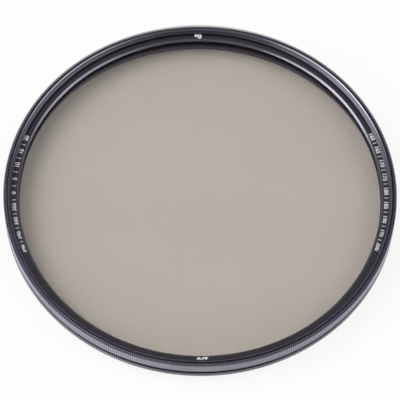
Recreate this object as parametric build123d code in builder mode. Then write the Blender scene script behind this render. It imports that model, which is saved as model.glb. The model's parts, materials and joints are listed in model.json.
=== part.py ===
"""Screw-in circular polarising filter for a camera lens, 95 mm thread class.

A knurled front ring carries the laminated glass and turns on a threaded mount ring.
A split spring ring in facing grooves holds the two rings together.
The filter lies on the end of its lens thread: origin on the axis at that end, +Z towards the subject.
All sizes are in millimetres.
"""

import os

from build123d import *

# Thread that screws into the lens, and the same thread in the front for caps and further filters
filter_thread_diameter = 95.0
lens_thread_length = 2.4
lens_thread_lead = 0.3
lens_relief_width = 0.4
lens_relief_depth = 0.6
lens_relief_undercut = 0.08
front_thread_depth = 1.7
front_relief_width = 0.35
front_relief_depth = 0.15

# Outside of the two rings
rim_overhang = 1.5
flange_height = 1.45
ring_gap = 0.55
rim_bevel_height = 0.55
rim_bevel_width = 0.95
edge_break = 0.15

# Walls of the mount ring
sleeve_wall = 1.3
web_thickness = 0.4
flange_wall = 1.05

# Walls of the front ring
skirt_wall = 1.0
lip_thickness = 0.9
lip_bevel_width = 0.45
lip_bevel_height = 0.45
seat_overlap = 1.63

# Laminate of two glass discs with the films between them
glass_thickness = 0.75
glass_edge_bevel = 0.1
film_thickness = 0.1
film_inset = 0.2
cement_line = 0.02

# Ring that holds the laminate from behind
retainer_height = 0.65
spanner_slot_count = 2
spanner_slot_width = 1.4
spanner_slot_depth = 0.35

# Split spring ring of square wire between the two rings
wire_size = 0.4
wire_gap_angle = 9.0

# Fits
running_clearance = 0.05
axial_clearance = 0.2
glass_clearance = 0.1
retainer_clearance = 0.03
wire_clearance = 0.05

# Radii that follow from the sizes above
thread_radius = filter_thread_diameter / 2
ring_radius = thread_radius + rim_overhang
sleeve_bore_radius = thread_radius - sleeve_wall
lens_relief_radius = thread_radius - lens_relief_depth
front_relief_radius = thread_radius + front_relief_depth
flange_bore_radius = ring_radius - flange_wall
skirt_radius = flange_bore_radius - running_clearance
laminate_bore_radius = skirt_radius - skirt_wall
glass_radius = laminate_bore_radius - glass_clearance
aperture_radius = glass_radius - seat_overlap
film_radius = glass_radius - film_inset
retainer_radius = laminate_bore_radius - retainer_clearance
snap_ring_radius = (flange_bore_radius + skirt_radius) / 2

# Heights that follow from the sizes above, from the lens side up
shoulder_height = lens_thread_length
web_top = shoulder_height + web_thickness
flange_top = shoulder_height + flange_height
grip_bottom = flange_top + ring_gap
skirt_bottom = web_top + axial_clearance
retainer_top = skirt_bottom + retainer_height
laminate_thickness = 2 * glass_thickness + 2 * film_thickness + 3 * cement_line
seat_height = retainer_top + laminate_thickness
lip_top = seat_height + lip_thickness
rim_top = lip_top + front_thread_depth
grip_top = rim_top - rim_bevel_height
snap_ring_height = (skirt_bottom + flange_top) / 2

# Groove for the snap ring, half in each ring
groove_half_size = wire_size / 2 + wire_clearance
groove_bottom = snap_ring_height - groove_half_size
groove_top = snap_ring_height + groove_half_size
groove_inner_radius = snap_ring_radius - groove_half_size
groove_outer_radius = snap_ring_radius + groove_half_size

os.makedirs("parts", exist_ok=True)


def save(piece, name):
    piece.part.label = name
    export_step(piece.part, f"parts/{name}.step")


def laminate_disc(name, radius, bottom, thickness, bevel_face=None):
    """One disc of the laminate; bevel_face is the axis direction of a face whose edge is ground off."""
    with BuildPart() as disc:
        with BuildSketch(Plane.XY.offset(bottom)):
            Circle(radius)
        extrude(amount=thickness)
        if bevel_face is not None:
            chamfer(disc.faces().sort_by(bevel_face)[-1].edges(), glass_edge_bevel)
    save(disc, name)


# Mount ring: threaded sleeve, web and the flange that the fingers hold
with BuildPart() as mount_ring:
    with BuildSketch(Plane.XZ) as mount_section:
        with BuildLine():
            Polyline(
                (sleeve_bore_radius, 0),
                (thread_radius - lens_thread_lead, 0),
                (thread_radius, lens_thread_lead),
                (thread_radius, shoulder_height - lens_relief_width),
                (lens_relief_radius, shoulder_height - lens_relief_width),
                (lens_relief_radius, shoulder_height + lens_relief_undercut),
                (thread_radius, shoulder_height + lens_relief_undercut),
                (thread_radius, shoulder_height),
                (ring_radius, shoulder_height),
                (ring_radius, flange_top),
                (flange_bore_radius, flange_top),
                (flange_bore_radius, groove_top),
                (groove_outer_radius, groove_top),
                (groove_outer_radius, groove_bottom),
                (flange_bore_radius, groove_bottom),
                (flange_bore_radius, web_top),
                (sleeve_bore_radius, web_top),
                close=True,
            )
        make_face()
        chamfer(mount_section.vertices().group_by(Axis.X)[-1], edge_break)
    revolve(axis=Axis.Z)
save(mount_ring, "mount_ring")

# Front ring: grip wall, bevelled rim, front thread, lip in front of the glass and the skirt behind it
with BuildPart() as front_ring:
    with BuildSketch(Plane.XZ) as front_section:
        with BuildLine():
            Polyline(
                (laminate_bore_radius, skirt_bottom),
                (skirt_radius, skirt_bottom),
                (skirt_radius, groove_bottom),
                (groove_inner_radius, groove_bottom),
                (groove_inner_radius, groove_top),
                (skirt_radius, groove_top),
                (skirt_radius, grip_bottom),
                (ring_radius, grip_bottom),
                (ring_radius, grip_top),
                (ring_radius - rim_bevel_width, rim_top),
                (thread_radius, rim_top),
                (thread_radius, lip_top + front_relief_width),
                (front_relief_radius, lip_top + front_relief_width),
                (front_relief_radius, lip_top),
                (aperture_radius + lip_bevel_width, lip_top),
                (aperture_radius, lip_top - lip_bevel_height),
                (aperture_radius, seat_height),
                (laminate_bore_radius, seat_height),
                close=True,
            )
        make_face()
        chamfer(front_section.vertices().group_by(Axis.X)[-1].sort_by(Axis.Y)[0], edge_break)
    revolve(axis=Axis.Z)
save(front_ring, "front_ring")

# Retaining ring: screwed in behind the laminate, with slots for a pin spanner
with BuildPart() as retaining_ring:
    with BuildSketch(Plane.XY.offset(skirt_bottom)):
        Circle(retainer_radius)
        Circle(aperture_radius, mode=Mode.SUBTRACT)
    extrude(amount=retainer_height)
    with BuildSketch(Plane.XY.offset(skirt_bottom)):
        with PolarLocations((aperture_radius + retainer_radius) / 2, spanner_slot_count):
            Rectangle(2 * (retainer_radius - aperture_radius), spanner_slot_width)
    extrude(amount=spanner_slot_depth, mode=Mode.SUBTRACT)
save(retaining_ring, "retaining_ring")

# Laminate, from the lens side: rear glass, quarter-wave film, polarising film, front glass
rear_glass_bottom = retainer_top
quarter_wave_bottom = rear_glass_bottom + glass_thickness + cement_line
polariser_bottom = quarter_wave_bottom + film_thickness + cement_line
front_glass_bottom = polariser_bottom + film_thickness + cement_line
laminate_disc("rear_glass", glass_radius, rear_glass_bottom, glass_thickness, -Axis.Z)
laminate_disc("quarter_wave_film", film_radius, quarter_wave_bottom, film_thickness)
laminate_disc("polarising_film", film_radius, polariser_bottom, film_thickness)
laminate_disc("front_glass", glass_radius, front_glass_bottom, glass_thickness, Axis.Z)

# Snap ring: split ring of square spring wire that sits half in each groove
with BuildPart() as snap_ring:
    with BuildSketch(Plane.XZ):
        with Locations((snap_ring_radius, snap_ring_height)):
            Rectangle(wire_size, wire_size)
    revolve(axis=Axis.Z, revolution_arc=360 - wire_gap_angle)
save(snap_ring, "snap_ring")
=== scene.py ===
# %% [markdown]
# # A screw-in polarising filter
# A photographer screws this filter into the front of a lens and turns its front ring to darken a sky or
# clear a reflection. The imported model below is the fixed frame: two turned rings, a laminate of two glasses
# and two films, a retaining ring and a snap ring. The lesson dresses that frame. It cuts the knurls and the
# threads that the frame leaves plain, prints a scale on the lip and gives each piece its finish.

# %% Load the frame
import json
import math
from collections import namedtuple

import bmesh
import bpy
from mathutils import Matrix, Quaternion, Vector


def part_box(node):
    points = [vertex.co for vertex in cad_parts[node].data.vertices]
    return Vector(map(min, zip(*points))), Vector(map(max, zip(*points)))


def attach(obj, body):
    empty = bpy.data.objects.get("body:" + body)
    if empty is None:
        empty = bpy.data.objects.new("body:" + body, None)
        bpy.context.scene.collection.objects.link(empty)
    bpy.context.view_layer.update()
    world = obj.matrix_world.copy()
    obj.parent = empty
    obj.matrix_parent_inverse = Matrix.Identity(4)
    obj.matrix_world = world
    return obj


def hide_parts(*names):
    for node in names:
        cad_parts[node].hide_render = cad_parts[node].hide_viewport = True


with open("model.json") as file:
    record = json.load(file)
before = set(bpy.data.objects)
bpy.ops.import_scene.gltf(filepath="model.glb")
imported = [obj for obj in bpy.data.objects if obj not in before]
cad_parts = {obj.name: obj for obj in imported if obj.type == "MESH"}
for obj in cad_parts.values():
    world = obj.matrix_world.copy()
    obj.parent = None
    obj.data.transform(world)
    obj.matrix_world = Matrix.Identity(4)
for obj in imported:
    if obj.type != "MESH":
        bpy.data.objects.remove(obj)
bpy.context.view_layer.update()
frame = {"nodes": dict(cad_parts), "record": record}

scene = bpy.context.scene
scene.view_settings.view_transform = "Standard"

# %% [markdown]
# ## Sizes from the frame
# A turner works from a drawing, and the frame is ours. Blender measures in metres while a drawing of a thin
# ring is easier to read in millimetres, so every size here is in millimetres and becomes metres only when a
# vertex is made. What a node shows is measured on it. The few steps of a section that lie inside a node are
# written once, as the wall, gap or depth that a drawing would give.

# %% Measure the nodes
MM = 0.001


def node_radii(node):
    """Smallest and largest distance of a node's corners from the axis."""
    radii = [vertex.co.xy.length / MM for vertex in frame["nodes"][node].data.vertices]
    return min(radii), max(radii)


def node_heights(node):
    """Lowest and highest point of a node."""
    low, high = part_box(node)
    return low.z / MM, high.z / MM


mounts = {mount["name"]: mount for mount in frame["record"]["mounts"]}
thread_radius = mounts["lens_thread"]["dims"]["r_mm"]
shoulder_height = mounts["lens_shoulder"]["pos_m"][2] / MM
aperture_radius, ring_radius = node_radii("front_ring")
sleeve_bore_radius, flange_radius = node_radii("mount_ring")
skirt_bottom, rim_top = node_heights("front_ring")
sleeve_bottom, flange_top = node_heights("mount_ring")
seat_height = node_heights("front_glass")[1]
print(f"ring radius {ring_radius:.3f}, aperture radius {aperture_radius:.3f}")
print(f"rim at {rim_top:.3f}, seat of the glass at {seat_height:.3f}")

# %% [markdown]
# ## The camera
# The photograph looks down on the filter from about 60 degrees, through a long lens, so the ring is an almost
# true ellipse. The camera stands 600 mm from the middle of the rim. It looks at a point a little in front of
# that middle, which places the ring as high in the frame as the photograph has it, and it is held a little
# crooked, as the photographer held it.

# %% Set up the camera
camera_distance = 600.0
camera_elevation = math.radians(60.05)
camera_roll = math.radians(1.28)
camera_lens = 216.86
aim_point = Vector((0.01, -3.29, rim_top)) * MM

camera = bpy.data.objects.new("camera", bpy.data.cameras.new("camera"))
scene.collection.objects.link(camera)
camera.data.sensor_width = 36.0
camera.data.lens = camera_lens
away = Vector((0, -math.cos(camera_elevation), math.sin(camera_elevation)))
camera.location = (Vector((0, 0, rim_top)) + away * camera_distance) * MM
camera.rotation_mode = "QUATERNION"
level = (aim_point - camera.location).to_track_quat("-Z", "Y")
camera.rotation_quaternion = level @ Quaternion((0, 0, 1), camera_roll)
scene.camera = camera
print("camera at", [round(value, 4) for value in camera.location])

# %% [markdown]
# ## A small kit for node trees
# Materials and Geometry Nodes are both trees of nodes joined by links. Writing each node and link by hand
# takes many lines, so one helper adds a node, sets its options and fills its inputs: a plain value is written
# on the socket, and a socket of another node is linked to it. The nodes that come back most often, such as a
# sum, a mix of two colours or a noise, get a short helper of their own.

# %% Node helpers


def add_node(tree, kind, inputs=None, **options):
    """One node of a tree; inputs maps a socket's name or number to a value or to another node's output."""
    node = tree.nodes.new(kind)
    for option, value in options.items():
        setattr(node, option, value)
    for socket, value in (inputs or {}).items():
        if isinstance(value, bpy.types.NodeSocket):
            tree.links.new(value, node.inputs[socket])
        else:
            node.inputs[socket].default_value = value
    return node


def add_math(tree, operation, *values):
    """A Math node, as the socket of its result."""
    return add_node(tree, "ShaderNodeMath", dict(enumerate(values)), operation=operation).outputs[0]


def add_range(tree, value, from_low=0.0, from_high=1.0, to_low=0.0, to_high=1.0):
    """A Map Range node, which carries a value from one pair of limits to another, as its result."""
    limits = {"From Min": from_low, "From Max": from_high, "To Min": to_low, "To Max": to_high}
    return add_node(tree, "ShaderNodeMapRange", {"Value": value, **limits}).outputs[0]


def add_mix(tree, share, first, second):
    """A Mix node of two colours, as the socket of its result."""
    colours = {"Factor": share, "A": (*first, 1.0), "B": (*second, 1.0)}
    return add_node(tree, "ShaderNodeMix", colours, data_type="RGBA").outputs["Result"]


# %% Material helpers


def object_place(tree):
    """The place of a point on its piece, as a socket."""
    return add_node(tree, "ShaderNodeTexCoord").outputs["Object"]


def add_noise(tree, place, scale, detail=2.0):
    """A Noise Texture in space, as the socket of its value."""
    grain = {"Vector": place, "Scale": scale, "Detail": detail}
    return add_node(tree, "ShaderNodeTexNoise", grain).outputs[0]


def lathe_lines(tree, place, scale):
    """Noise along radius plus height: fine rings on flat faces, walls and bevels alike."""
    split = add_node(tree, "ShaderNodeSeparateXYZ", {0: place}).outputs
    flat_place = add_node(tree, "ShaderNodeCombineXYZ", {"X": split["X"], "Y": split["Y"]}).outputs[0]
    radius = add_node(tree, "ShaderNodeVectorMath", {0: flat_place}, operation="LENGTH").outputs["Value"]
    lines = {"W": add_math(tree, "ADD", radius, split["Z"]), "Scale": scale, "Detail": 2.0}
    return add_node(tree, "ShaderNodeTexNoise", lines, noise_dimensions="1D").outputs[0]


def new_material(name):
    """An empty node material and its tree."""
    material = bpy.data.materials.new(name)
    material.use_nodes = True
    material.node_tree.nodes.clear()
    return material, material.node_tree


def finish_material(tree, surface):
    """Send the finished surface to the output of the material."""
    add_node(tree, "ShaderNodeOutputMaterial", {"Surface": surface})


# %% [markdown]
# ## Black anodised aluminium
# The rings are turned, blasted with fine beads and anodised black with a faint violet cast. The oxide still
# mirrors its surroundings softly, so the shader is a dark metal. How dark it looks is painted place by place,
# partly as finish and partly as painted light: the bores are left matt against stray light, the faces are
# satin, the bevel is darkest, partly as painted shade, the broken edges and the rim chamfer are paler as
# painted highlight lines, and the grip is palest, a painted sheen for the bright floor that it mirrors. The
# sections below carry that as an attribute. The lathe leaves rings that follow the section: a one-dimensional
# noise read along radius plus height draws them on flat faces, walls and bevels alike. The beads add a fine
# grain.

# %% Anodised finish
relief_depth = 0.02 * MM
cloud_scale = 120.0
bead_scale = 7000.0
turning_scale = 9000.0


def anodised_black(name, matt, bright):
    """A dark metal between two colours; an attribute says how pale a place is, by its finish and by painted
    light.
    """
    material, tree = new_material(name)
    place = object_place(tree)
    cloud = add_noise(tree, place, cloud_scale, 3.0)
    uneven = add_range(tree, cloud, from_low=0.3, from_high=0.7, to_low=0.92, to_high=1.08)
    shine = add_node(tree, "ShaderNodeAttribute", attribute_name="shine").outputs["Fac"]
    uneven_finish_and_painted_light = add_math(tree, "MULTIPLY", shine, uneven)
    colour = add_mix(tree, uneven_finish_and_painted_light, matt, bright)
    roughness = add_range(tree, uneven_finish_and_painted_light, from_high=0.3, to_low=0.45, to_high=0.23)
    beads = {"Height": add_noise(tree, place, bead_scale), "Strength": 0.25, "Distance": relief_depth}
    grain = add_node(tree, "ShaderNodeBump", beads).outputs[0]
    lines = lathe_lines(tree, place, turning_scale)
    turning = {"Height": lines, "Strength": 0.3, "Distance": relief_depth}
    relief = add_node(tree, "ShaderNodeBump", {**turning, "Normal": grain}).outputs[0]
    metal = {"Base Color": colour, "Metallic": 1.0, "Roughness": roughness, "Normal": relief}
    finish_material(tree, add_node(tree, "ShaderNodeBsdfPrincipled", metal).outputs[0])
    return material


# The pale end is far paler than black oxide: it carries the painted sheen of the grip and the painted
# highlight lines.
ring_finish = anodised_black("black_anodised_aluminium", (0.022, 0.0206, 0.028), (0.500, 0.483, 0.571))
print("made", ring_finish.name)

# %% [markdown]
# ## The section of a turned ring
# A turned ring is one section spun about the axis. Its sharp corners are broken on the lathe, and those small
# rounds catch the light, so a section is written as corners with a rounding each. A row of the section also
# carries how pale the surface is from it to the next row, partly its finish and partly painted light. It may
# carry a valley, which is where the bottom of a knurl groove lies, with a paleness of the groove's own, and
# a cut, which is how deep a thread may go there.

# %% Section rows
# How pale each place is, from matt to palest: the matt bores and satin faces are finish, the dark bevel is
# partly painted shade, and the paler edges, chamfer, flange and grip are partly painted highlight and sheen.
BEVEL, BORE, FACE, THREAD = 0.0, 0.03, 0.13, 0.14
FLANGE, EDGE, CHAMFER, GRIP = 0.35, 0.45, 0.52, 1.0
Row = namedtuple("Row", "crest valley cut shine groove", defaults=(None, 0.0, FACE, None))
ROUND_STEPS = 2


def corner_of(item):
    """Radius and height of a row or a corner, as a vector."""
    return Vector(item.crest if isinstance(item, Row) else item[:2])


def section_rows(items):
    """Rows of a closed section; an item is a row, or a corner: radius, height, rounding and shine."""
    rows = []
    for index, item in enumerate(items):
        if isinstance(item, Row):
            rows.append(item)
            continue
        corner, rounding, shine = corner_of(item), item[2], item[3]
        if rounding == 0:
            rows.append(Row(tuple(corner), shine=shine))
            continue
        before = corner_of(items[index - 1])
        after = corner_of(items[(index + 1) % len(items)])
        start = corner + (before - corner).normalized() * rounding
        end = corner + (after - corner).normalized() * rounding
        for step in range(ROUND_STEPS + 1):
            share = step / ROUND_STEPS
            point = start.lerp(corner, share).lerp(corner.lerp(end, share), share)
            rows.append(Row(tuple(point), shine=shine))
    return rows


def thread_rows(radius, first, last, cut_at, spacing=0.09):
    """Rows up or down a threaded wall; cut_at gives the deepest cut at a height."""
    count = math.ceil(abs(last - first) / spacing)
    heights = [first + (last - first) * step / count for step in range(count + 1)]
    return [Row((radius, height), cut=cut_at(height), shine=THREAD) for height in heights]


# %% [markdown]
# ## One pitch of the knurl, copied round the axis
# A straight knurl repeats the same groove hundreds of times. Modelling the whole ring with it by hand is
# slow, and a bump map would leave the outline smooth. So one slice of the ring, as wide as one groove and one
# crest, is made from the section, and a small node tree copies it round the axis and welds the copies to one
# closed skin. The same tree later sets the strokes of the printed scale.

# %% One slice
PLAIN_COLUMNS = ((0.0, "crest"), (1.0, "crest"))
GROOVE_COLUMNS = ((0.0, "crest"), (0.08, "valley"), (0.42, "valley"), (0.50, "crest"), (1.0, "crest"))
GROOVE_FACES = 3


def pitch_slice(name, rows, count):
    """Open strip of faces over one knurl pitch, which is one groove and one crest."""
    pitch = math.tau / count
    mesh = bpy.data.meshes.new(name)
    build = bmesh.new()
    cut_layer = build.verts.layers.float.new("cut")
    # Each face carries how pale it is, by its finish and by painted light.
    finish_and_painted_light_layer = build.faces.layers.float.new("shine")
    strips = []
    for row in rows:
        strip = []
        for share, part in GROOVE_COLUMNS if row.valley else PLAIN_COLUMNS:
            radius, height = getattr(row, part)
            turn = share * pitch
            vertex = build.verts.new(Vector((radius * math.cos(turn), radius * math.sin(turn), height)) * MM)
            vertex[cut_layer] = row.cut * MM
            strip.append(vertex)
        strips.append(strip)
    for index, lower in enumerate(strips):
        upper = strips[(index + 1) % len(strips)]
        outlines = [(*lower, *reversed(upper))]
        if len(lower) == len(upper):
            outlines = list(zip(lower, lower[1:], upper[1:], upper))
        shine, groove = rows[index].shine, rows[index].groove
        for column, outline in enumerate(outlines):
            in_groove = groove is not None and column < GROOVE_FACES
            build.faces.new(outline)[finish_and_painted_light_layer] = groove if in_groove else shine
    build.to_mesh(mesh)
    build.free()
    print(f"{name}: {len(rows)} rows, {len(mesh.polygons)} faces")
    return mesh


def new_tree(name, sockets):
    """A geometry tree with named inputs, its input node and its output node."""
    tree = bpy.data.node_groups.new(name, "GeometryNodeTree")
    tree.interface.new_socket("Geometry", in_out="INPUT", socket_type="NodeSocketGeometry")
    tree.interface.new_socket("Geometry", in_out="OUTPUT", socket_type="NodeSocketGeometry")
    for socket, kind in sockets.items():
        tree.interface.new_socket(socket, in_out="INPUT", socket_type=kind)
    return tree, tree.nodes.new("NodeGroupInput"), tree.nodes.new("NodeGroupOutput")


# %% Copy tree
copy_weld = 0.001 * MM


def copies_round_the_axis():
    """A tree that sets copies of a mesh at even angles and welds them."""
    tree, given, result = new_tree(
        "copies round the axis",
        {
            "Count": "NodeSocketInt",
            "First Angle": "NodeSocketFloat",
            "Step Angle": "NodeSocketFloat",
            "Material": "NodeSocketMaterial",
        },
    )
    values = given.outputs
    index = add_node(tree, "GeometryNodeInputIndex").outputs[0]
    turn = add_math(tree, "MULTIPLY_ADD", index, values["Step Angle"], values["First Angle"])
    rotation = add_node(tree, "ShaderNodeCombineXYZ", {"Z": turn}).outputs[0]
    points = add_node(tree, "GeometryNodePoints", {"Count": values["Count"]}).outputs[0]
    setting = {"Points": points, "Instance": values["Geometry"], "Rotation": rotation}
    copies = add_node(tree, "GeometryNodeInstanceOnPoints", setting).outputs[0]
    loose = add_node(tree, "GeometryNodeRealizeInstances", {"Geometry": copies}).outputs[0]
    welding = {"Geometry": loose, "Distance": copy_weld}
    welded = add_node(tree, "GeometryNodeMergeByDistance", welding).outputs[0]
    coloured = {"Geometry": welded, "Material": values["Material"]}
    tree.links.new(add_node(tree, "GeometryNodeSetMaterial", coloured).outputs[0], result.inputs[0])
    return tree


copy_tree = copies_round_the_axis()
print("tree:", copy_tree.name)

# %% [markdown]
# ## A thread as a rule
# A thread is a groove that climbs one pitch in each turn. A spiral sweep would need its ends trimmed where
# the wall stops, so the wall itself is pushed inwards instead. A point's place in the pitch is its height in
# pitches less its turn round the axis. Folding that number back and forth gives a triangle wave, and clipping
# the wave leaves the flats of a standard metric thread. The attribute cut limits the depth at each row, which
# makes the chamfer where a thread starts.

# %% Thread tree
crest_flat_end = 1 / 16
root_flat_start = 3 / 8
root_middle = 1 / 2


def thread_on_a_wall():
    """A tree that pushes a wall inwards to a thread, no deeper than the attribute cut."""
    tree, given, result = new_tree(
        "thread on a wall",
        {"Pitch": "NodeSocketFloat", "Height": "NodeSocketFloat", "Material": "NodeSocketMaterial"},
    )
    values = given.outputs
    place = add_node(tree, "GeometryNodeInputPosition").outputs[0]
    split = add_node(tree, "ShaderNodeSeparateXYZ", {0: place}).outputs
    turns = add_math(tree, "DIVIDE", add_math(tree, "ARCTAN2", split["Y"], split["X"]), math.tau)
    phase = add_math(tree, "SUBTRACT", add_math(tree, "DIVIDE", split["Z"], values["Pitch"]), turns)
    wave = add_math(tree, "PINGPONG", phase, root_middle)
    flank = add_range(tree, wave, crest_flat_end, root_flat_start, to_high=values["Height"])
    cut = add_node(tree, "GeometryNodeInputNamedAttribute", {"Name": "cut"}, data_type="FLOAT").outputs[0]
    inward = add_math(tree, "MULTIPLY", add_math(tree, "MINIMUM", flank, cut), -1.0)
    outward = add_node(tree, "ShaderNodeCombineXYZ", {"X": split["X"], "Y": split["Y"]}).outputs[0]
    unit = add_node(tree, "ShaderNodeVectorMath", {0: outward}, operation="NORMALIZE").outputs[0]
    push = add_node(tree, "ShaderNodeVectorMath", {0: unit, "Scale": inward}, operation="SCALE").outputs[0]
    moving = {"Geometry": values["Geometry"], "Offset": push}
    moved = add_node(tree, "GeometryNodeSetPosition", moving).outputs[0]
    solid = add_node(tree, "GeometryNodeRealizeInstances", {"Geometry": moved}).outputs[0]
    coloured = {"Geometry": solid, "Material": values["Material"]}
    tree.links.new(add_node(tree, "GeometryNodeSetMaterial", coloured).outputs[0], result.inputs[0])
    return tree


thread_tree = thread_on_a_wall()
print("tree:", thread_tree.name)

# %% [markdown]
# ## From trees to plain meshes
# The pieces are kept as plain meshes. The frame and the export want plain meshes. The helper puts a mesh
# through one or more trees, keeps the evaluated result as a new mesh and removes the working object. A
# finished piece then gets its normals turned outwards, smooth shading with crisp corners, and the body
# that it moves with.

# %% Run the trees


def run_trees(mesh, *steps):
    """The mesh after each step, which is a tree and the values of its named inputs."""
    working = bpy.data.objects.new("working", mesh)
    scene.collection.objects.link(working)
    for tree, values in steps:
        modifier = working.modifiers.new(tree.name, "NODES")
        modifier.node_group = tree
        for socket in tree.interface.items_tree:
            if socket.in_out == "INPUT" and socket.name in values:
                modifier[socket.identifier] = values[socket.name]
    depsgraph = bpy.context.evaluated_depsgraph_get()
    result = bpy.data.meshes.new_from_object(working.evaluated_get(depsgraph), depsgraph=depsgraph)
    working.modifiers.clear()
    bpy.data.objects.remove(working)
    return result


# %% Finish a piece
CRISP_ANGLE = math.radians(12)


def finish_piece(name, mesh, body, node=None):
    """A piece of the object from a finished mesh; node is the part of the frame that it stands for."""
    build = bmesh.new()
    build.from_mesh(mesh)
    bmesh.ops.recalc_face_normals(build, faces=build.faces)
    build.to_mesh(mesh)
    build.free()
    mesh.shade_smooth()
    mesh.set_sharp_from_angle(angle=CRISP_ANGLE)
    mesh.name = name
    piece = bpy.data.objects.new(name, mesh)
    scene.collection.objects.link(piece)
    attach(piece, body)
    if node:
        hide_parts(node)
    triangles = sum(len(face.vertices) - 2 for face in mesh.polygons)
    print(f"{name}: {triangles} triangles, rides on {body}")


# %% A turned ring from its rows
thread_pitch = 1.0


def turned_ring(name, rows, count, thread_height, body, node):
    """A ring of one section with a knurl of so many grooves and the threads that its rows allow."""
    around = {"Count": count, "First Angle": 0.0, "Step Angle": math.tau / count, "Material": ring_finish}
    thread = {"Pitch": thread_pitch * MM, "Height": thread_height * MM, "Material": ring_finish}
    mesh = run_trees(pitch_slice(f"{name}_slice", rows, count), (copy_tree, around), (thread_tree, thread))
    finish_piece(name, mesh, body, node)


# %% [markdown]
# ## The front ring
# This is the ring that the fingers turn. From below, its section has the skirt that runs in the mount ring,
# with the groove of the snap ring, then the grip wall, a low bevel, a fine chamfer, the thread for a cap, and
# the lip that holds the glass from the front. The bevel is a little flatter than the plain one of the frame,
# as the photograph has it. The knurl is a row of upright grooves in the grip wall. Near the top they lean
# inwards, and they end on the bevel, a little short of its middle. Their bottoms are much more upright than
# the bevel, and they are painted as pale as the wall, a painted sheen, so they stand in it like a pale comb.

# %% Front ring sizes
ring_gap = 0.55
skirt_radius = 47.9
skirt_wall = 1.0
groove_height = 0.5
groove_depth = 0.225
rim_bevel_width = 1.2
rim_bevel_height = 0.25
lip_thickness = 0.9
lip_bevel = 0.45
front_relief_width = 0.35
front_relief_depth = 0.15
edge_break = 0.15
fine_round = 0.05
rim_break = 0.28

front_knurl_count = 588
grip_edge_height = 0.5
knurl_depth = 0.15
knurl_end_share = 0.4
knurl_lean_height = 0.82
lean_below_corner = 0.55
lean_above_corner = 0.63
bevel_start_share = 0.05
front_thread_height = 0.54
front_thread_lead = 0.35

laminate_bore_radius = skirt_radius - skirt_wall
grip_bottom = flange_top + ring_gap
grip_top = rim_top - rim_bevel_height
lip_top = seat_height + lip_thickness
groove_middle = (skirt_bottom + flange_top) / 2
groove_low = groove_middle - groove_height / 2
groove_high = groove_middle + groove_height / 2
front_thread_top = rim_top - rim_break - 2 * fine_round
front_relief_radius = thread_radius + front_relief_depth
front_relief_top = lip_top + front_relief_width
print(f"grip from {grip_bottom:.3f} to {grip_top:.3f}, lip at {lip_top:.3f}")

# %% Front ring section


def grip_rows():
    """Grip wall and bevel with the knurl, from the lower edge up to the end of the grooves on the bevel."""
    outer = Vector((ring_radius, grip_top))
    inner = Vector((ring_radius - rim_bevel_width, rim_top))
    end = inner.lerp(outer, knurl_end_share)
    foot = Vector((ring_radius - knurl_depth, end.y - knurl_lean_height))
    low_edge = grip_bottom + grip_edge_height
    wall_end = (ring_radius, grip_top - fine_round)
    bevel_start = outer.lerp(inner, bevel_start_share)
    below, above = foot.lerp(end, lean_below_corner), foot.lerp(end, lean_above_corner)
    # The grip wall and the groove bottoms are painted palest and the bevel darkest: painted sheen and shade
    # on top of the finish.
    return [
        Row((ring_radius - edge_break, grip_bottom), valley=(foot.x, grip_bottom), shine=FACE),
        Row((ring_radius, low_edge), valley=(foot.x, low_edge), shine=GRIP),
        Row((ring_radius, foot.y), valley=tuple(foot), shine=GRIP),
        Row(wall_end, valley=tuple(below), shine=EDGE, groove=GRIP),
        Row(tuple(bevel_start), valley=tuple(above), shine=BEVEL, groove=GRIP),
        Row(tuple(end), valley=tuple(end), shine=BEVEL),
    ]


def front_cut(height):
    """Greatest depth of the front thread: it opens towards the rim."""
    below_rim = rim_top - rim_break - height
    return min(front_thread_height, front_thread_height * below_rim / front_thread_lead)


front_rows = section_rows(
    [
        (laminate_bore_radius, skirt_bottom, fine_round, FACE),
        (skirt_radius, skirt_bottom, fine_round, FACE),
        (skirt_radius, groove_low, 0, FACE),
        (skirt_radius - groove_depth, groove_low, 0, FACE),
        (skirt_radius - groove_depth, groove_high, 0, FACE),
        (skirt_radius, groove_high, 0, FACE),
        (skirt_radius, grip_bottom, 0, FACE),
        *grip_rows(),
        (ring_radius - rim_bevel_width, rim_top, 0, EDGE),
        # The rim chamfer is painted paler than the edges, a painted highlight line.
        (thread_radius + rim_break, rim_top, fine_round, CHAMFER),
        (thread_radius, rim_top - rim_break, fine_round, THREAD),
        *thread_rows(thread_radius, front_thread_top, front_relief_top, front_cut),
        (front_relief_radius, front_relief_top, 0, FACE),
        (front_relief_radius, lip_top, 0, FACE),
        (aperture_radius + lip_bevel, lip_top, fine_round, EDGE),
        (aperture_radius, lip_top - lip_bevel, fine_round, BORE),
        (aperture_radius, seat_height, 0, FACE),
        (laminate_bore_radius, seat_height, 0, FACE),
    ]
)

# %% Make the front ring
turned_ring("turned_front_ring", front_rows, front_knurl_count, front_thread_height, "front", "front_ring")

# %% [markdown]
# ## The mount ring
# The mount ring stays still on the lens. Its flange has a coarser straight knurl, cut from face to face, so
# that fingers can hold it while the front ring turns. Under the flange sits the sleeve with the lens thread.
# The thread ends in a relief groove, so that the flange can seat flat on the lens.

# %% Mount ring sizes
flange_wall = 1.05
web_thickness = 0.4
lens_thread_lead = 0.3
lens_thread_start = 0.5
lens_relief_width = 0.4
lens_relief_depth = 0.6
lens_relief_undercut = 0.08
lens_thread_height = 0.58
flange_knurl_count = 500

flange_bore_radius = flange_radius - flange_wall
web_top = shoulder_height + web_thickness
lens_relief_radius = thread_radius - lens_relief_depth
lens_relief_top = shoulder_height + lens_relief_undercut
lens_relief_bottom = shoulder_height - lens_relief_width
print(f"flange bore {flange_bore_radius:.3f}, web up to {web_top:.3f}")

# %% Mount ring section


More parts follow.
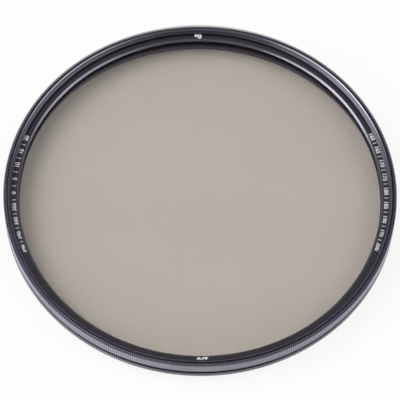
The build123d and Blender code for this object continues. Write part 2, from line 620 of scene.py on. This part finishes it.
def flange_rows():
    """The knurled wall of the flange between its two broken edges."""
    edge_radius, floor_radius = flange_radius - edge_break, flange_radius - knurl_depth
    # The lower edge and the wall's grooves are painted paler and the top grooves darker: partly finish,
    # partly painted highlight and shade.
    steps = [
        (edge_radius, shoulder_height, EDGE, EDGE),
        (flange_radius, shoulder_height + edge_break, FLANGE, GRIP),
        (flange_radius, flange_top - edge_break, FACE, BORE),
        (edge_radius, flange_top, FACE, FACE),
    ]
    return [
        Row((radius, height), valley=(floor_radius, height), shine=shine, groove=groove)
        for radius, height, shine, groove in steps
    ]


def lens_cut(height):
    """Greatest depth of the lens thread, less near the chamfered end."""
    opening = lens_thread_start + (1 - lens_thread_start) * height / lens_thread_lead
    return lens_thread_height * min(1.0, opening)


mount_rows = section_rows(
    [
        (sleeve_bore_radius, sleeve_bottom, fine_round, FACE),
        (thread_radius - lens_thread_lead, sleeve_bottom, fine_round, FACE),
        *thread_rows(thread_radius, sleeve_bottom + lens_thread_lead, lens_relief_bottom, lens_cut),
        (lens_relief_radius, lens_relief_bottom, 0, FACE),
        (lens_relief_radius, lens_relief_top, 0, FACE),
        (thread_radius, lens_relief_top, 0, FACE),
        (thread_radius, shoulder_height, 0, FACE),
        *flange_rows(),
        (flange_bore_radius, flange_top, fine_round, FACE),
        (flange_bore_radius, groove_high, 0, FACE),
        (flange_bore_radius + groove_depth, groove_high, 0, FACE),
        (flange_bore_radius + groove_depth, groove_low, 0, FACE),
        (flange_bore_radius, groove_low, 0, FACE),
        (flange_bore_radius, web_top, 0, FACE),
        (sleeve_bore_radius, web_top, fine_round, FACE),
    ]
)

# %% Make the mount ring
turned_ring("turned_mount_ring", mount_rows, flange_knurl_count, lens_thread_height, "mount", "mount_ring")

# %% [markdown]
# ## The printed scale
# White print runs along the lip on both sides of the ring. Here it is a plain scale in degrees, as a turning
# ring may carry: a number every five degrees with a stroke between, and larger numbers at the quarters
# between the two blocks. A text object gives each number as a flat mesh with a little thickness, and its
# points are bent round the ring: a step to the right becomes a turn about the axis, and a step up becomes a
# larger radius. The strokes reuse the copy tree.

# %% White print finish
mottle_scale = 5000.0


def white_print():
    """Matt white ink with a faint mottle."""
    material, tree = new_material("white_print")
    mottle = add_noise(tree, object_place(tree), mottle_scale)
    colour = add_mix(tree, mottle, (0.70, 0.70, 0.71), (0.86, 0.86, 0.86))
    ink = add_node(tree, "ShaderNodeBsdfPrincipled", {"Base Color": colour, "Roughness": 0.5})
    finish_material(tree, ink.outputs[0])
    return material


print_finish = white_print()
print("made", print_finish.name)

# %% Numbers
print_thickness = 0.012
print_radius = 45.95
digit_height = 1.2
print(f"numbers {digit_height} mm tall at radius {print_radius}")


def number_mesh(number, height, boldness):
    """A number as a mesh, its lower edge on the X axis and its middle at the origin."""
    text = bpy.data.curves.new("number", "FONT")
    text.body = str(number % 360)
    text.align_x = "CENTER"
    text.resolution_u = 3
    text.extrude = 0.01
    text.offset = boldness
    holder = bpy.data.objects.new("number", text)
    scene.collection.objects.link(holder)
    depsgraph = bpy.context.evaluated_depsgraph_get()
    mesh = bpy.data.meshes.new_from_object(holder.evaluated_get(depsgraph), depsgraph=depsgraph)
    bpy.data.objects.remove(holder)
    low = min(vertex.co.y for vertex in mesh.vertices)
    tall = max(vertex.co.y for vertex in mesh.vertices) - low
    for vertex in mesh.vertices:
        across, up = vertex.co.x * height / tall, (vertex.co.y - low) * height / tall
        vertex.co = (across, up, lip_top + (print_thickness if vertex.co.z > 0 else -print_thickness))
    return mesh


def bend_round_ring(mesh, foot_radius, middle_angle):
    """Millimetres across and up become a turn and a radius; reading runs clockwise, tops outwards."""
    for vertex in mesh.vertices:
        radius = foot_radius + vertex.co.y
        angle = math.radians(middle_angle) - vertex.co.x / (print_radius + digit_height / 2)
        vertex.co = Vector((radius * math.cos(angle), radius * math.sin(angle), vertex.co.z)) * MM


# %% Strokes
stroke_width = 0.18


def bar_mesh(name, inner, outer, width):
    """A thin printed bar on the lip at angle zero, along the radius."""
    build = bmesh.new()
    corners = [(inner, -width / 2), (outer, -width / 2), (outer, width / 2), (inner, width / 2)]
    low = [build.verts.new(Vector((x, y, lip_top - print_thickness)) * MM) for x, y in corners]
    high = [build.verts.new(Vector((x, y, lip_top + print_thickness)) * MM) for x, y in corners]
    build.faces.new(high)
    build.faces.new(reversed(low))
    for index in range(4):
        following = (index + 1) % 4
        build.faces.new((low[index], low[following], high[following], high[index]))
    mesh = bpy.data.meshes.new(name)
    build.to_mesh(mesh)
    build.free()
    return mesh


def copies(mesh, count, first, step):
    """Copies of a printed mark round the axis, angles in degrees."""
    values = {"Count": count, "First Angle": math.radians(first), "Step Angle": math.radians(step)}
    return run_trees(mesh, (copy_tree, {**values, "Material": print_finish}))


# %% Set out the scale
number_step = 5
numbers_each_way = 4
digit_boldness = 0.035
quarter_turn = 90
quarter_height = 1.5
quarter_radius = 45.72
quarter_boldness = 0.06
scale_turn = 1.8
middle_numbers = {scale_turn: 180, scale_turn + 180: 0}

marks = []
block_reach = numbers_each_way * number_step
for middle, middle_number in middle_numbers.items():
    for offset in range(-block_reach, block_reach + 1, number_step):
        number = number_mesh(middle_number + offset, digit_height, digit_boldness)
        bend_round_ring(number, print_radius, middle - offset)
        marks.append(number)
    stroke = bar_mesh("stroke", print_radius, print_radius + digit_height, stroke_width)
    marks.append(copies(stroke, 2 * numbers_each_way, middle - block_reach + number_step / 2, number_step))
    quarter = number_mesh(middle_number + quarter_turn, quarter_height, quarter_boldness)
    bend_round_ring(quarter, quarter_radius, middle - quarter_turn)
    marks.append(quarter)
print("groups of print:", len(marks))

# %% Join the print to one piece
print_weld = 0.0005 * MM


def joined(name, meshes, material):
    """One mesh of several, which are used up; all its faces take the one material slot."""
    build = bmesh.new()
    for mesh in meshes:
        build.from_mesh(mesh)
        bpy.data.meshes.remove(mesh)
    bmesh.ops.remove_doubles(build, verts=build.verts, dist=print_weld)
    result = bpy.data.meshes.new(name)
    build.to_mesh(result)
    build.free()
    result.materials.append(material)
    for face in result.polygons:
        face.material_index = 0
    return result


finish_piece("scale_print", joined("scale_print", marks, print_finish), "front")

# %% [markdown]
# ## Coated glass and the two films
# The laminate is seen through, so its pieces keep the plain discs of the frame and differ in their shaders.
# The glass is clear, and its coating mirrors only a little violet. Clear glass in a path tracer throws a
# black shadow, because lamps are not found through a bending surface, so shadow rays meet a Transparent
# shader instead. A shadow ray here passes eight faces, and the limit on see-through faces is raised for it.
# The polarising film carries the warm grey tint, with a faint unevenness from its stretching. The
# quarter-wave film behind it is clear.

# %% Glass and film finishes
scene.cycles.transparent_max_bounces = 32
glass_cloud_scale = 60.0
film_streak_scale = (8.0, 60.0, 1.0)


def coated_glass():
    """Clear glass with a violet coating; shadow rays pass straight through."""
    material, tree = new_material("coated_glass")
    cloud = add_noise(tree, object_place(tree), glass_cloud_scale, 3.0)
    colour = add_mix(tree, cloud, (0.985, 0.99, 0.985), (0.995, 0.995, 0.995))
    clear = {"Base Color": colour, "Roughness": 0.0, "IOR": 1.5, "Transmission Weight": 1.0}
    coating = {"Specular Tint": (0.90, 0.80, 1.00, 1.0)}
    glass = add_node(tree, "ShaderNodeBsdfPrincipled", {**clear, **coating}).outputs[0]
    straight = add_node(tree, "ShaderNodeBsdfTransparent", {"Color": colour}).outputs[0]
    shadow_ray = add_node(tree, "ShaderNodeLightPath").outputs["Is Shadow Ray"]
    mix = add_node(tree, "ShaderNodeMixShader", {0: shadow_ray, 1: glass, 2: straight})
    finish_material(tree, mix.outputs[0])
    return material


def tinted_film(name, pale, deep):
    """A clear film that colours the light twice, once at each face."""
    material, tree = new_material(name)
    stretching = {"Vector": object_place(tree), "Scale": film_streak_scale}
    stretched = add_node(tree, "ShaderNodeMapping", stretching).outputs[0]
    colour = add_mix(tree, add_noise(tree, stretched, 1.0, 3.0), pale, deep)
    film = add_node(tree, "ShaderNodeBsdfTransparent", {"Color": colour})
    finish_material(tree, film.outputs[0])
    return material


glass_finish = coated_glass()
polariser_finish = tinted_film("polarising_film", (0.827, 0.801, 0.784), (0.817, 0.791, 0.774))
retarder_finish = tinted_film("retarder_film", (0.995, 0.995, 0.99), (0.985, 0.985, 0.98))
print("made", glass_finish.name, polariser_finish.name, retarder_finish.name)

# %% [markdown]
# ## Spring wire
# The snap ring is drawn square wire, bright and lightly greased. Drawing leaves fine lines along the wire,
# which on this ring run round the axis, so the same noise along radius and height draws them.

# %% Spring wire finish
drawn_line_scale = 20000.0


def spring_wire():
    """Bright steel with fine lines along the wire."""
    material, tree = new_material("spring_steel")
    lines = lathe_lines(tree, object_place(tree), drawn_line_scale)
    colour = add_mix(tree, lines, (0.50, 0.50, 0.51), (0.60, 0.60, 0.60))
    roughness = add_range(tree, lines, to_low=0.2, to_high=0.4)
    steel = {"Base Color": colour, "Metallic": 1.0, "Roughness": roughness}
    finish_material(tree, add_node(tree, "ShaderNodeBsdfPrincipled", steel).outputs[0])
    return material


wire_finish = spring_wire()
print("made", wire_finish.name)

# %% Give the plain nodes their finishes
finishes = {
    "front_glass": glass_finish,
    "rear_glass": glass_finish,
    "polarising_film": polariser_finish,
    "quarter_wave_film": retarder_finish,
    "retaining_ring": ring_finish,
    "snap_ring": wire_finish,
}
for node, finish in finishes.items():
    for material_slot in frame["nodes"][node].material_slots:
        material_slot.material = finish
    print(node, "gets", finish.name)

# %% [markdown]
# ## Floor, surroundings and lamps
# The filter lies on a white sweep. The floor is a pale matt surface that also glows for the camera and in
# mirrors, so it stays white in the picture and still keeps a faint shadow. Seen through the glass it hardly
# glows: there the light of the lamps passes the film on its way down and again on its way up, as it should.
# Mirrored in the rings the floor's glow is painted darkest in front, a painted shade where a photographer's
# own shade would fall, and painted lighter at both sides, and the grip shows that as a soft change along its
# wall.
# The room is a dim even grey, which is what the flat faces of the rings mirror to the camera. Two large soft
# lamps stand high at the left and at the right. They light the floor through the glass, and the ring's shadow
# darkens the rim of the disc. Two long low lamps at the front left and front right draw the bright lines on
# the far chamfers. Seen from behind, the glass would mirror them as one white sheet, so light linking keeps
# them off the two glasses and the tint stays in view. Sizes and places of the stage are in metres.

# %% Floor
floor_size = 12.0
floor_drop = 0.00002
paper_white = 0.90
seen_glow_share = 0.88
mirrored_glow_share = 0.8
glass_glow_share = 0.05
# The glow that mirrors see is painted: low in front as painted shade, rising to full at the left and the
# right as painted light.
front_painted_shade_glow = 0.46
left_painted_light_glow = {"from_low": -0.005, "from_high": -0.045, "to_high": 1.0}
right_painted_light_glow = {"from_low": 0.015, "from_high": 0.045, "to_high": 0.9}


def floor_finish():
    """White paper with a glow, which depends on how a ray comes to it; for mirrors it is painted darker in
    front and lighter at the sides.
    """
    material, tree = new_material("white_sweep")
    paper = add_node(tree, "ShaderNodeBsdfDiffuse", {"Color": (paper_white, paper_white, paper_white, 1.0)})
    light_path = add_node(tree, "ShaderNodeLightPath").outputs
    across = add_node(tree, "ShaderNodeSeparateXYZ", {0: object_place(tree)}).outputs["X"]
    strength = light_path["Is Camera Ray"]
    for side in (left_painted_light_glow, right_painted_light_glow):
        lit = add_range(tree, across, to_low=front_painted_shade_glow, **side)
        strength = add_math(tree, "MAXIMUM", strength, lit)
    glow = add_node(tree, "ShaderNodeEmission", {"Color": (1.0, 1.0, 1.0, 1.0), "Strength": strength})
    share = add_math(tree, "MULTIPLY", light_path["Is Camera Ray"], seen_glow_share)
    share = add_math(tree, "MULTIPLY_ADD", light_path["Is Glossy Ray"], mirrored_glow_share, share)
    bent_share = glass_glow_share - mirrored_glow_share
    share = add_math(tree, "MULTIPLY_ADD", light_path["Is Transmission Ray"], bent_share, share)
    mix = add_node(tree, "ShaderNodeMixShader", {0: share, 1: paper.outputs[0], 2: glow.outputs[0]})
    finish_material(tree, mix.outputs[0])
    return material


half = floor_size / 2
floor_plan = [(-half, -half), (half, -half), (half, half), (-half, half)]
floor_mesh = bpy.data.meshes.new("floor")
floor_mesh.from_pydata([(x, y, -floor_drop) for x, y in floor_plan], [], [(0, 1, 2, 3)])
floor_mesh.materials.append(floor_finish())
floor = bpy.data.objects.new("floor", floor_mesh)
scene.collection.objects.link(floor)
print(f"floor {floor_size} m wide, {floor_drop} m under the filter")

# %% Surroundings
room_strength = 0.32


def room():
    """An even grey world, a touch cooler overhead."""
    world = bpy.data.worlds.new("room")
    world.use_nodes = True
    tree = world.node_tree
    tree.nodes.clear()
    direction = add_node(tree, "ShaderNodeTexCoord").outputs["Generated"]
    height = add_node(tree, "ShaderNodeSeparateXYZ", {0: direction}).outputs["Z"]
    rise = add_range(tree, height, from_high=0.5)
    colour = add_mix(tree, rise, (1.0, 1.0, 1.0), (0.92, 0.92, 0.95))
    grey = add_node(tree, "ShaderNodeBackground", {"Color": colour, "Strength": room_strength})
    add_node(tree, "ShaderNodeOutputWorld", {"Surface": grey.outputs[0]})
    return world


scene.world = room()
print("room strength", room_strength)

# %% Lamps


def soft_lamp(name, place, width, height, power):
    """A lamp that faces the middle of the filter; place and sizes are in metres, power in watts."""
    data = bpy.data.lights.new(name, "AREA")
    data.shape = "RECTANGLE"
    data.size = width
    data.size_y = height
    data.energy = power
    lamp = bpy.data.objects.new(name, data)
    scene.collection.objects.link(lamp)
    lamp.location = place
    lamp.rotation_mode = "QUATERNION"
    lamp.rotation_quaternion = (-Vector(place)).to_track_quat("-Z", "Y")
    print(f"{name} at {place}, {power} W")
    return lamp


soft_lamp("key_lamp", (-0.68, 0.06, 0.92), 0.8, 0.8, 7.5)
soft_lamp("fill_lamp", (0.68, 0.0, 0.92), 0.8, 0.8, 3.0)
low_left = soft_lamp("low_left_lamp", (-1.03, -0.44, 0.42), 1.3, 0.5, 6.2)
low_right = soft_lamp("low_right_lamp", (1.03, -0.44, 0.42), 1.3, 0.5, 2.7)

# %% Keep the low lamps off the glass
glasses = bpy.data.collections.new("glass_without_glare")
for node in ("front_glass", "rear_glass"):
    glasses.objects.link(frame["nodes"][node])
for entry in glasses.collection_objects:
    entry.light_linking.link_state = "EXCLUDE"
for lamp in (low_left, low_right):
    lamp.light_linking.receiver_collection = glasses
